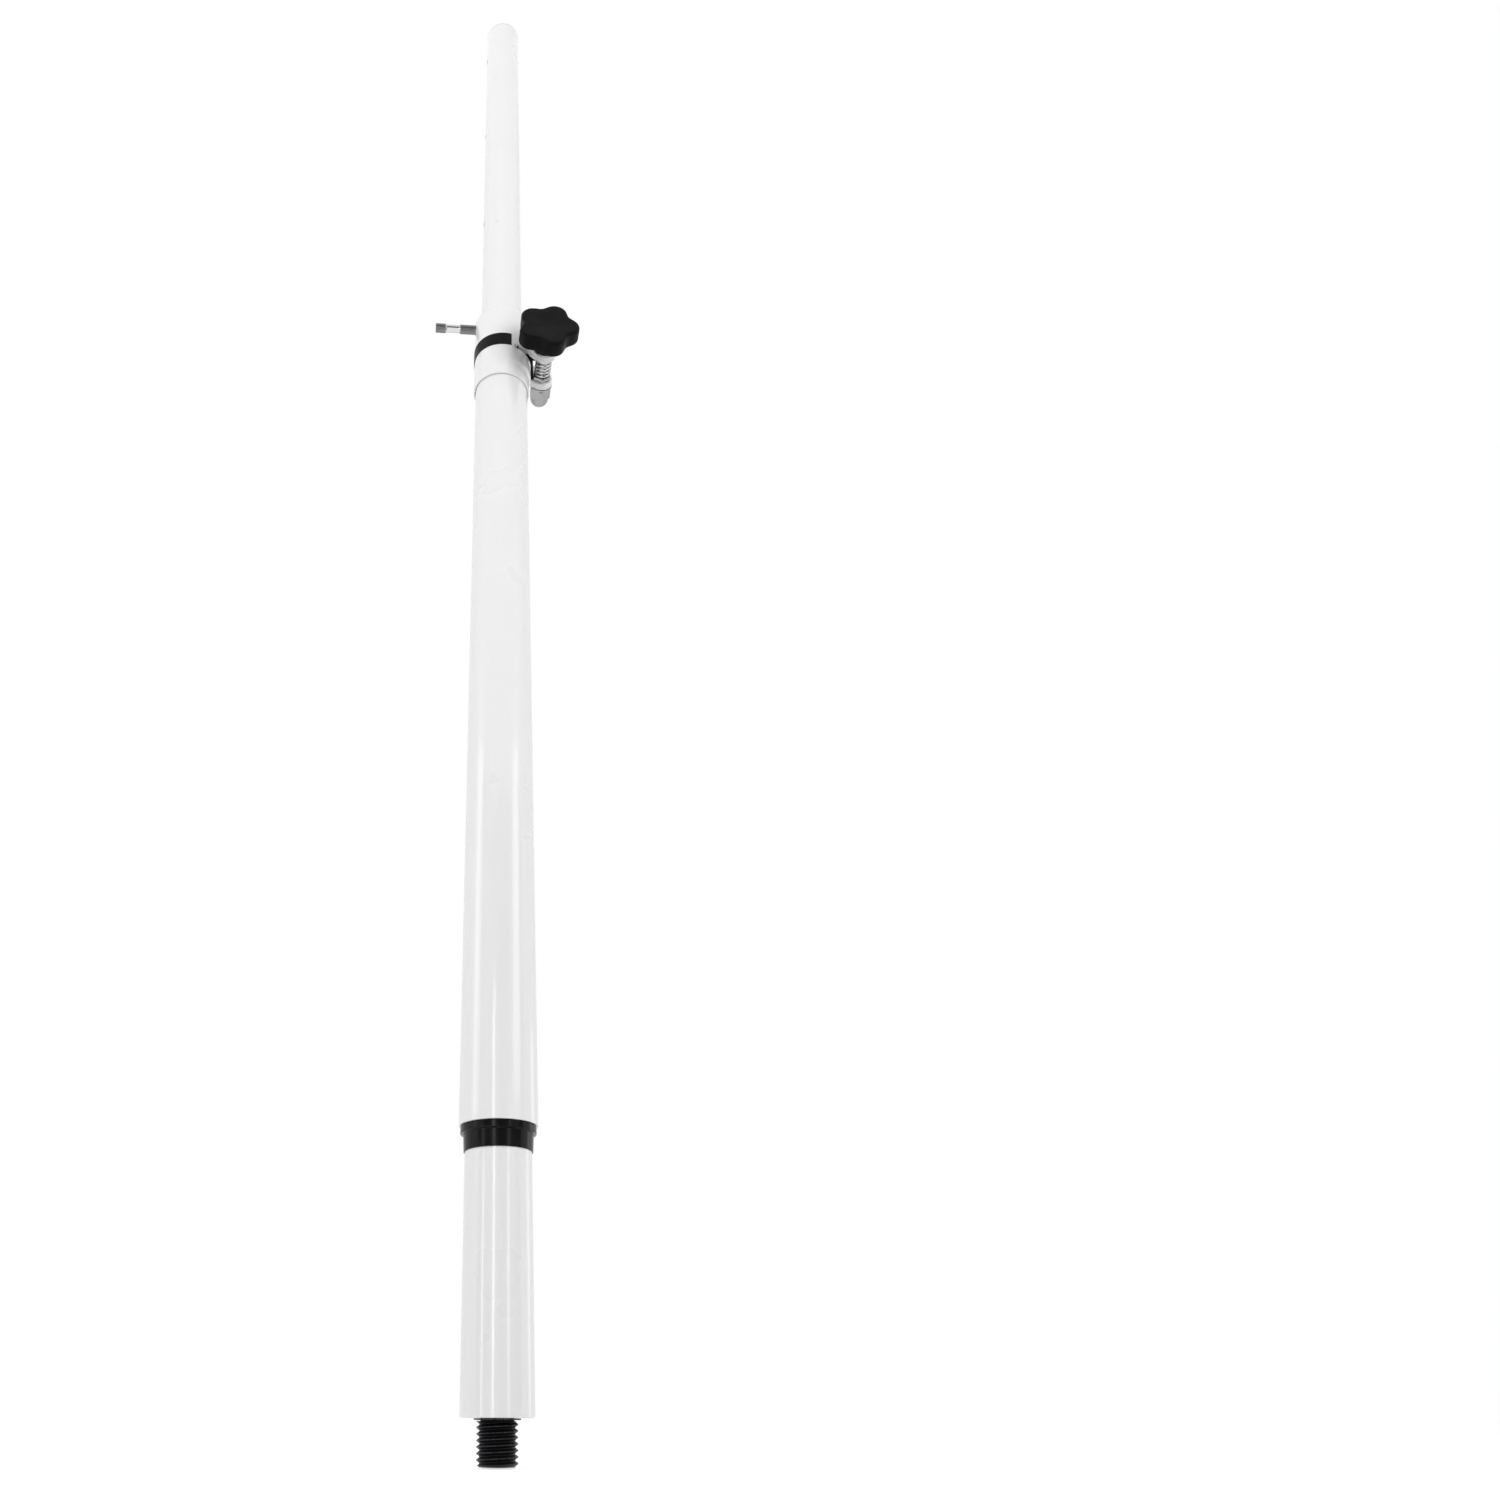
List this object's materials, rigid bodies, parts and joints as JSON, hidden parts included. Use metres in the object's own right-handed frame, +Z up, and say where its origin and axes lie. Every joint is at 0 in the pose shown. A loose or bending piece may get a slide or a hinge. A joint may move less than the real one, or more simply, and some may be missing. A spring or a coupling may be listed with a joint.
{
  "type": "speaker pole",
  "caption": "Tall telescopic loudspeaker pole: threaded foot, stepped white tubes, a split clamp collar with side ears, a star knob and a push pin, and a plain mast on top.",
  "frame": {"origin": "middle of the lower tube's bottom face, where the pole's shoulder sits on the base that the stud is screwed into", "axes": "+Z up along the pole, +X from the pole towards the clamp ears, -Y towards the star knob, -X towards the locking pin"},
  "size_m": [0.119, 0.0854, 1.3308],
  "materials": {
    "white_coat": "gloss white powder coat on steel",
    "white_plastic": "white moulded plastic",
    "black_plastic": "satin black moulded nylon",
    "black_steel": "black oxide on steel",
    "zinc_steel": "zinc plate on steel",
    "bright_steel": "bright nickel plate on steel",
    "insert_brass": "machined brass",
    "buffer_rubber": "black moulded rubber",
    "label_film": "blank satin black film"
  },
  "bodies": {
    "base": {"threaded_stud": "black_steel", "stud_washer": "black_steel", "bottom_plug": "white_coat", "stud_roll_pin": "zinc_steel", "lower_tube": "white_coat", "lower_guide_ring": "black_plastic", "landing_buffer": "buffer_rubber", "reducer_bush": "black_plastic", "bush_lip_screw": "black_steel", "outer_tube": "white_coat", "bush_screw_1": "zinc_steel", "bush_screw_2": "zinc_steel", "clamp_collar": "white_coat", "collar_screw_1": "zinc_steel", "collar_screw_2": "zinc_steel", "clamp_liner": "black_plastic", "label_band": "label_film", "clamp_bolt": "zinc_steel", "jaw_spring": "bright_steel", "inner_nut": "zinc_steel", "cap_nut": "zinc_steel", "nut_washer": "zinc_steel"},
    "mast": {"mast_tube": "white_coat", "mast_guide": "black_plastic", "guide_rivet_1": "zinc_steel", "guide_rivet_2": "zinc_steel", "mast_cap": "white_plastic"},
    "pin": {"locking_pin": "bright_steel"},
    "washer": {"knob_washer": "zinc_steel"},
    "knob": {"star_knob": "black_plastic", "knob_insert": "insert_brass"}
  },
  "joints": [
    {"name": "mast_slide", "type": "slide", "parent": "base", "child": "mast", "axis": [0, 0, 1], "range_m": [-0.4572, 0]},
    {"name": "pin_push", "type": "slide", "parent": "base", "child": "pin", "axis": [1, 0, 0], "range_m": [0, 0.012]},
    {"name": "knob_back_off", "type": "slide", "parent": "base", "child": "washer", "axis": [0, -1, 0], "range_m": [0, 0.0031]},
    {"name": "knob_turn", "type": "hinge", "parent": "washer", "child": "knob", "pos_m": [0.0356, 0, 0.7509], "axis": [0, -1, 0], "range_deg": [0, 720]}
  ],
  "couplings": [
    {"joint": "knob_back_off", "follows": "knob_turn", "m_per_rad": 0.00023873}
  ]
}
